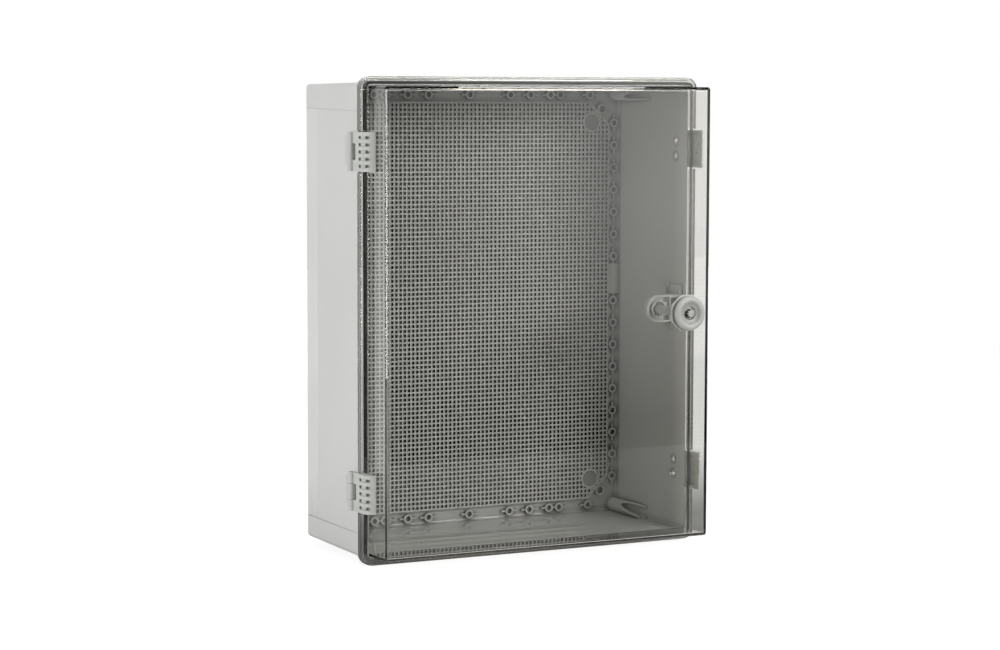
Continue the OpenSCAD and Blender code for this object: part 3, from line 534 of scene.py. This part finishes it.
# soft seal under the cover flange with a short flap outside the collar
def buildSeal(d):
    outer, flap, inner = ([d[side + k] for k in ("X", "Z", "Round")] for side in ("out", "flap", "in"))
    bends = (0, 30, 60, 90)

    # an edge rounded off at angle a of the bend, to the inside or to the outside
    def bend(place, foot, a, way):
        back = way * d["soft"] * (1 - math.cos(math.radians(a)))
        return [v + back for v in place] + [foot + d["soft"] * (1 - math.sin(math.radians(a)))]

    rows = [outer + [d["top"]]] + [bend(outer, d["flapFoot"], a, -1) for a in bends]
    rows += [flap + [d["flapFoot"]], flap + [d["foot"]]]
    rows += [bend(inner, d["foot"], a, 1) for a in reversed(bends)] + [inner + [d["top"]]]
    bm = bmesh.new()
    loftLoops(bm, [rimLoop(*row) for row in rows], True)
    seal = addPiece("seal_bead", bm, sealRubber, "door")
    cutNotches(seal, clearCover)
    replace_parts(seal, "gasket")


buildSeal(sealBead)
print("seal built")

rosettePlate = {"sides": 8, "flat": 19.0, "clip": 20.2, "back": 200.0, "front": 203.5, "soft": 0.5, "bore": 4.58,
                "boreEdge": 0.3, "bush": 8.0, "bushBack": 191.5, "bushEdge": 0.4, "count": 160}


# eight-sided plate with softened corners, in one piece with the bush behind it
def buildRosette(d):
    def side(a, back=0.0):
        nearest = max(math.cos(a - 2 * math.pi * k / d["sides"]) for k in range(d["sides"]))
        return min(d["clip"], d["flat"] / nearest) - back

    front, bushBack = d["front"], d["bushBack"]
    rows = [(side, d["back"]), (side, front - d["soft"])]
    for turn in (30, 60, 90):
        a = math.radians(turn)
        rows.append((lambda t, b=d["soft"] * (1 - math.cos(a)): side(t, b), front - d["soft"] * (1 - math.sin(a))))
    rows += [(d["bore"] + d["boreEdge"], front), (d["bore"], front - d["boreEdge"]), (d["bore"], bushBack),
             (d["bush"] - d["bushEdge"], bushBack), (d["bush"], bushBack + d["bushEdge"]), (d["bush"], d["back"])]
    bm = bmesh.new()
    loftLoops(bm, [roundLoop(lockAxis, radius, out, d["count"]) for radius, out in rows], True)
    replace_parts(addPiece("lock_rosette", bm, rosettePlastic, "door", 28), "lock_escutcheon")


knobBody = {"base": 203.8, "bore": 4.58, "neck": 13.0, "gap": 1.3, "foot": 16.2, "footEdge": 0.4, "ring": 4.0,
            "ringMid": 14.4, "ringHigh": 4.0, "flare": 13, "inner": 150, "steps": 20,
            "dish": [(10.0, 5.35), (9.0, 4.95), (8.0, 4.72), (7.3, 4.6), (6.95, 4.5), (6.8, 4.25)],
            "recess": 2.6, "count": 96}


# knob turned from one section: flared foot, thick rolled rim, dish and a recess for the star
def buildKnob(d):
    rows = [(d["bore"], 0.0), (d["neck"], 0.0), (d["neck"], d["gap"]), (d["foot"] - d["footEdge"], d["gap"]),
            (d["foot"], d["gap"] + d["footEdge"])]
    for k in range(d["steps"] + 1):
        a = math.radians(-d["flare"] + (d["inner"] + d["flare"]) * k / d["steps"])
        rows.append((d["ringMid"] + d["ring"] * math.cos(a), d["ringHigh"] + d["ring"] * math.sin(a)))
    rows += d["dish"] + [(d["dish"][-1][0], d["recess"]), (d["bore"], d["recess"])]
    bm = bmesh.new()
    loftLoops(bm, [roundLoop(lockAxis, r, d["base"] + h, d["count"]) for r, h in rows], True)
    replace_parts(addPiece("knob_turned", bm, knobPlastic, "lock", 40), "lock_knob")


starStud = {"disc": 6.65, "back": 206.4, "discFront": 207.4, "discEdge": 0.25, "middle": 4.3, "wave": 0.85,
            "points": 10, "front": 212.0, "soft": 0.35, "count": 160}


# fluted star stud on a round foot
def buildStar(d):
    def points(a, back=0.0):
        return d["middle"] + d["wave"] * math.cos(d["points"] * a) - back

    rows = [(d["disc"], d["back"]), (d["disc"], d["discFront"] - d["discEdge"]),
            (d["disc"] - d["discEdge"], d["discFront"]), (points, d["discFront"]),
            (points, d["front"] - d["soft"]), (lambda a: points(a, d["soft"]), d["front"])]
    bm = bmesh.new()
    capEnds(bm, loftLoops(bm, [roundLoop(lockAxis, radius, out, d["count"]) for radius, out in rows]))
    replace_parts(addPiece("star_stud", bm, starSteel, "lock", 20), "lock_core")


buildRosette(rosettePlate)
buildKnob(knobBody)
buildStar(starStud)
print("lock pieces built")

# the pit rows are radius and depth below the top of the head
wallScrews = {"seat": 189.62, "out": 126.0, "rows": (-182.2, -165.8, 165.8, 182.2), "head": 4.7, "high": 2.4,
              "headEdge": 0.2, "bulge": 6.06, "steps": 7, "pit": [(0.5, 1.2), (1.4, 0.55), (1.7, 0.3)],
              "shank": 2.0, "tip": 196.6, "tipEdge": 0.5, "count": 36}


# domed screws through one side wall, turned about the x axis, with a drive pit in the head
def buildScrews(name, d, side, node):
    top = d["seat"] - d["high"]
    pit, dome = d["pit"][-1][0], d["head"] - d["headEdge"]
    rows = list(d["pit"])
    for k in range(1, d["steps"] + 1):
        r = pit + (dome - pit) * k / d["steps"]
        rows.append((r, d["bulge"] - math.sqrt(d["bulge"] ** 2 - r ** 2)))
    rows += [(d["head"], d["high"] - d["headEdge"]), (d["head"], d["high"]), (d["shank"], d["high"]),
             (d["shank"], d["tip"] - top - d["tipEdge"]), (d["shank"] - d["tipEdge"], d["tip"] - top)]
    angles = [2 * math.pi * k / d["count"] for k in range(d["count"])]
    bm = bmesh.new()
    for z in d["rows"]:
        loops = []
        for r, deep in rows:
            loops.append([Vector((side * (top + deep) * mm, (-d["out"] + r * math.cos(a)) * mm,
                                  (z + r * math.sin(a)) * mm)) for a in angles])
        capEnds(bm, loftLoops(bm, loops))
    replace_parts(addPiece(name, bm, headSteel, "box", 40), node)


buildScrews("hinge_wall_screws", wallScrews, -1, "hinge_screws")
buildScrews("latch_wall_screws", wallScrews, 1, "latch_screws")
print("wall screws built")

mountingPlate = {"halfX": 173.5, "halfZ": 223.5, "cut": 25.0, "border": 2.0, "pitch": 5.0, "hole": 3.3,
                 "columns": 34, "rows": 44, "back": 5.3, "front": 9.3, "ringX": 150.9, "ringZ": 200.9,
                 "ringOut": 10.9, "ringIn": 9.4, "ringTop": 10.3, "ringEdge": 0.4, "ringBend": 0.12, "ringGap": 0.3,
                 "ringNear": 4.0, "ringCount": 64, "holeCount": 40, "least": 0.9}


# part of a polygon on the side of a line where (p . n) is at most reach
def keepSide(points, nx, nz, reach):
    kept = []
    for (ax, az), (bx, bz) in zip(points, points[1:] + points[:1]):
        da, db = ax * nx + az * nz - reach, bx * nx + bz * nz - reach
        if da <= 0:
            kept.append((ax, az))
        if (da < 0 < db) or (db < 0 < da):
            t = da / (da - db)
            kept.append((ax + (bx - ax) * t, az + (bz - az) * t))
    return kept


def areaOf(points):
    return abs(sum(a[0] * b[1] - b[0] * a[1] for a, b in zip(points, points[1:] + points[:1]))) / 2


# square holes on the raster, trimmed at the cut corners and at the four rings
def plateHoles(p):
    half = p["hole"] / 2
    limit = p["halfX"] + p["halfZ"] - p["cut"] - p["border"] * math.sqrt(2)
    holes = []
    for i in range(-p["columns"], p["columns"] + 1):
        for j in range(-p["rows"], p["rows"] + 1):
            x, z = i * p["pitch"], j * p["pitch"]
            square = [(x - half, z - half), (x + half, z - half), (x + half, z + half), (x - half, z + half)]
            if abs(x) + abs(z) + 2 * half > limit:
                square = keepSide(square, math.copysign(1, x), math.copysign(1, z), limit)
            ringX, ringZ = math.copysign(p["ringX"], x), math.copysign(p["ringZ"], z)
            dx, dz = x - ringX, z - ringZ
            far = math.hypot(dx, dz)
            if far < p["ringOut"] + p["ringNear"]:
                nx, nz = -dx / max(far, 0.001), -dz / max(far, 0.001)
                square = keepSide(square, nx, nz, ringX * nx + ringZ * nz - p["ringOut"] - p["ringGap"])
            if len(square) > 2 and areaOf(square) > p["least"]:
                holes.append(square)
    return holes


def buildPlate(p):
    hx, hz, cut = p["halfX"], p["halfZ"], p["cut"]
    outline = [(hx, cut - hz), (hx, hz - cut), (hx - cut, hz), (cut - hx, hz), (-hx, hz - cut), (-hx, cut - hz),
               (cut - hx, -hz), (hx - cut, -hz)]
    rIn, rOut = p["ringIn"], p["ringOut"]
    ringSpots = [(sx * p["ringX"], sz * p["ringZ"]) for sx in (-1, 1) for sz in (-1, 1)]
    # the sheet ends inside the rings
    r, angles = (rOut + rIn) / 2, [2 * math.pi * k / p["holeCount"] for k in range(p["holeCount"])]
    rounds = [[(x + r * math.cos(a), z + r * math.sin(a)) for a in angles] for x, z in ringSpots]
    holes = plateHoles(p)
    points, faces = [], []
    for loop in [outline] + rounds + holes:
        faces.append(list(range(len(points), len(points) + len(loop))))
        points += [Vector(q) for q in loop]
    flat, _, tris, given, _, parents = delaunay_2d_cdt(points, [], faces, 0, 1e-6)
    place = {s: index for index, sources in enumerate(given) for s in sources}
    bm = bmesh.new()
    front, back = ([bm.verts.new((q.x * mm, -p[side] * mm, q.y * mm)) for q in flat] for side in ("front", "back"))
    for tri, parent in zip(tris, parents):
        if list(parent) == [0]:
            bm.faces.new([front[i] for i in tri])
            bm.faces.new([back[i] for i in reversed(tri)])
    for loop in faces:
        ring = [place[i] for i in loop]
        for a, b in zip(ring, ring[1:] + ring[:1]):
            if a != b:
                bm.faces.new((front[a], front[b], back[b], back[a]))
    bmesh.ops.delete(bm, geom=[v for v in bm.verts if not v.link_faces], context="VERTS")
    # rings round the posts, turned from a rounded section
    top, low, edge, bend = p["ringTop"], p["back"], p["ringEdge"], p["ringBend"]
    section = [(rOut, low), (rOut, top - edge), (rOut - bend, top - bend), (rOut - edge, top), (rIn + edge, top),
               (rIn + bend, top - bend), (rIn, top - edge), (rIn, low)]
    for spot in ringSpots:
        loftLoops(bm, [roundLoop(spot, r, out, p["ringCount"]) for r, out in section], True)
    plate = addPiece("plate_grid", bm, platePlastic, "box", 40)
    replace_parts(plate, "mounting_plate")
    print("plate holes:", len(holes), "faces:", len(plate.data.polygons))


buildPlate(mountingPlate)

# floor, world and lamps
floorLook = {"level": -0.2503, "near": -0.9, "far": 4.0, "half": 4.0, "glow": 0.86, "seen": 0.3, "pale": 0.75,
             "dark": 0.05, "fade": (0.0, 0.5), "farGlow": 1.0, "farFade": (0.6, 1.6), "through": 0.8,
             "frontFade": (-0.22, -0.3), "sideGlow": 0.7, "sideFade": (-0.35, -0.7), "lipGlow": 0.9,
             "lipFrom": (-0.24, -0.21), "lipTo": (-0.19, -0.17)}
# the room is bright behind the box and dim before it, with a pale window to the right that the cover mirrors
worldLook = {"ambientFront": 0.08, "ambientBack": 0.68, "turn": (-0.15, 0.35), "before": 0.04, "behind": 1.0,
             "fade": (0.55, 0.8), "through": 1.0, "window": 1.5, "windowX": (0.400, 0.50), "windowY": (-0.3, 0.0),
             "windowZ": (-0.125, -0.045)}
lamps = {"keyLamp": {"at": (1.0, -2.15, 0.78), "aim": (0, -0.1, 0), "size": (1.1, 0.8), "power": 28.0},
         "sideLamp": {"at": (-2.2, -0.2, 0.25), "aim": (-0.2, -0.18, 0.0), "size": (0.3, 1.1), "power": 17.8},
         "stripLamp": {"at": (-1.64, -0.87, 0.3), "aim": (-0.187, -0.2, 0.0), "size": (0.11, 1.1), "power": 4.0},
         "topLamp": {"at": (0.73, -0.22, 1.6), "aim": (0, -0.2, 0.24), "size": (0.75, 0.3), "power": 7.0},
         "fillLamp": {"at": (0.15, -1.1, 1.7), "aim": (0, -0.1, -0.1), "size": (0.9, 0.5), "power": 8.0}}


# one where a ray comes from the camera, a mirroring surface or the clear cover
def seenRay(tree, x, y, path):
    return largest(tree, x, y, *(path.outputs["Is %s Ray" % kind] for kind in ("Camera", "Glossy", "Transmission")))


# one where a ray went through the clear cover without a reflection
def straightThrough(tree, path):
    plain = maths(tree, -800, 450, "LESS_THAN", path.outputs["Glossy Depth"], 0.5)
    return maths(tree, -650, 450, "MULTIPLY", plain, path.outputs["Is Transmission Ray"])


def buildFloor(f):
    bm = bmesh.new()
    corners = [(-f["half"], f["near"]), (f["half"], f["near"]), (f["half"], f["far"]), (-f["half"], f["far"])]
    bm.faces.new([bm.verts.new((x, y, f["level"])) for x, y in corners])
    mesh = bpy.data.meshes.new("floor")
    bm.to_mesh(mesh)
    bm.free()
    mat, tree = blankMaterial("paleFloor")
    path = put(tree, "ShaderNodeLightPath", -900, 200)
    spot = axes(tree, -900, -100, put(tree, "ShaderNodeTexCoord", -1100, -100).outputs["Object"])
    # mirrored in the cover the floor is pale behind the box only; the camera sees it pale all over,
    # and so does a ray that went straight through the cover
    behind = remap(tree, -700, -100, spot["Y"], (f["dark"], f["glow"]), f["fade"])
    before = remap(tree, -700, -500, spot["Y"], (0, f["through"]), f["frontFade"])
    glimpse = maths(tree, -600, -500, "MULTIPLY", before, straightThrough(tree, path))
    level = put(tree, "ShaderNodeMix", -550, -100, data_type="FLOAT")
    level.inputs[3].default_value = f["glow"]
    tree.links.new(largest(tree, -600, -350, path.outputs["Is Camera Ray"], glimpse), level.inputs["Factor"])
    tree.links.new(behind, level.inputs[2])
    # mirrored in the bevels it is pale on the left and just under the front of the cover
    left = remap(tree, -700, -650, spot["X"], (0, f["sideGlow"]), f["sideFade"])
    under = maths(tree, -600, -800, "MULTIPLY",
                  remap(tree, -800, -800, spot["Y"], (0, f["lipGlow"]), f["lipFrom"]),
                  remap(tree, -800, -950, spot["Y"], (1, 0), f["lipTo"]))
    # white again far off, so that its edge doesn't show
    away = remap(tree, -700, -300, spot["Y"], (0, f["farGlow"]), f["farFade"])
    glow = put(tree, "ShaderNodeEmission", -400, -50)
    tree.links.new(largest(tree, -500, -700, level.outputs[0], left, under, away), glow.inputs["Strength"])
    shade, plain = (put(tree, "ShaderNodeBsdfDiffuse", -400, y) for y in (-200, -350))
    for node, grey in ((shade, f["seen"]), (plain, f["pale"])):
        node.inputs["Color"].default_value = (grey, grey, grey, 1)
    both = put(tree, "ShaderNodeAddShader", -200, -100)
    tree.links.new(glow.outputs[0], both.inputs[0])
    tree.links.new(shade.outputs[0], both.inputs[1])
    surface = mixShaders(tree, 0, 0, seenRay(tree, -550, 200, path), plain.outputs[0], both.outputs[0])
    out = put(tree, "ShaderNodeOutputMaterial", 200, 0)
    tree.links.new(surface, out.inputs["Surface"])
    mesh.materials.append(mat)
    floor = addObject("floor", mesh)


def buildWorld(w):
    world = bpy.data.worlds.new("studio")
    bpy.context.scene.world = world
    world.use_nodes = True
    tree = world.node_tree
    tree.nodes.clear()
    path = put(tree, "ShaderNodeLightPath", -900, 300)
    way = axes(tree, -700, 0, put(tree, "ShaderNodeTexCoord", -900, 0).outputs["Generated"])
    level = remap(tree, -500, 0, way["Y"], (w["before"], w["behind"]), w["fade"])
    window = maths(tree, -350, -250, "MULTIPLY",
                   remap(tree, -500, -250, way["X"], (0, w["window"]), w["windowX"]),
                   remap(tree, -500, -500, way["Z"], (0, 1), w["windowZ"]))
    window = maths(tree, -350, -400, "MULTIPLY", window, remap(tree, -500, -650, way["Y"], (1, 0), w["windowY"]))
    # seen through the cover from behind, the front of the room isn't dim
    glimpse = maths(tree, -350, 150, "MULTIPLY", straightThrough(tree, path), w["through"])
    level = largest(tree, -350, 0, level, window, glimpse, path.outputs["Is Camera Ray"])
    around = remap(tree, -500, 160, way["Y"], (w["ambientFront"], w["ambientBack"]), w["turn"])
    shown, soft = (put(tree, "ShaderNodeBackground", -200, y) for y in (0, 150))
    for node, strength in ((shown, level), (soft, around)):
        node.inputs["Color"].default_value = (1, 1, 1, 1)
        tree.links.new(strength, node.inputs["Strength"])
    surface = mixShaders(tree, 50, 100, seenRay(tree, -650, 300, path), soft.outputs[0], shown.outputs[0])
    out = put(tree, "ShaderNodeOutputWorld", 250, 100)
    tree.links.new(surface, out.inputs["Surface"])


def buildLamp(name, lamp):
    data = bpy.data.lights.new(name, "AREA")
    data.shape = "RECTANGLE"
    data.size, data.size_y = lamp["size"]
    data.energy = lamp["power"]
    obj = addObject(name, data)
    at, aim = Vector(lamp["at"]), Vector(lamp["aim"])
    obj.rotation_euler = (aim - at).to_track_quat("-Z", "Y").to_euler()
    obj.location = at


buildFloor(floorLook)
buildWorld(worldLook)
for name, lamp in lamps.items():
    buildLamp(name, lamp)
print("floor, world and lamps set")

bpy.context.view_layer.update()
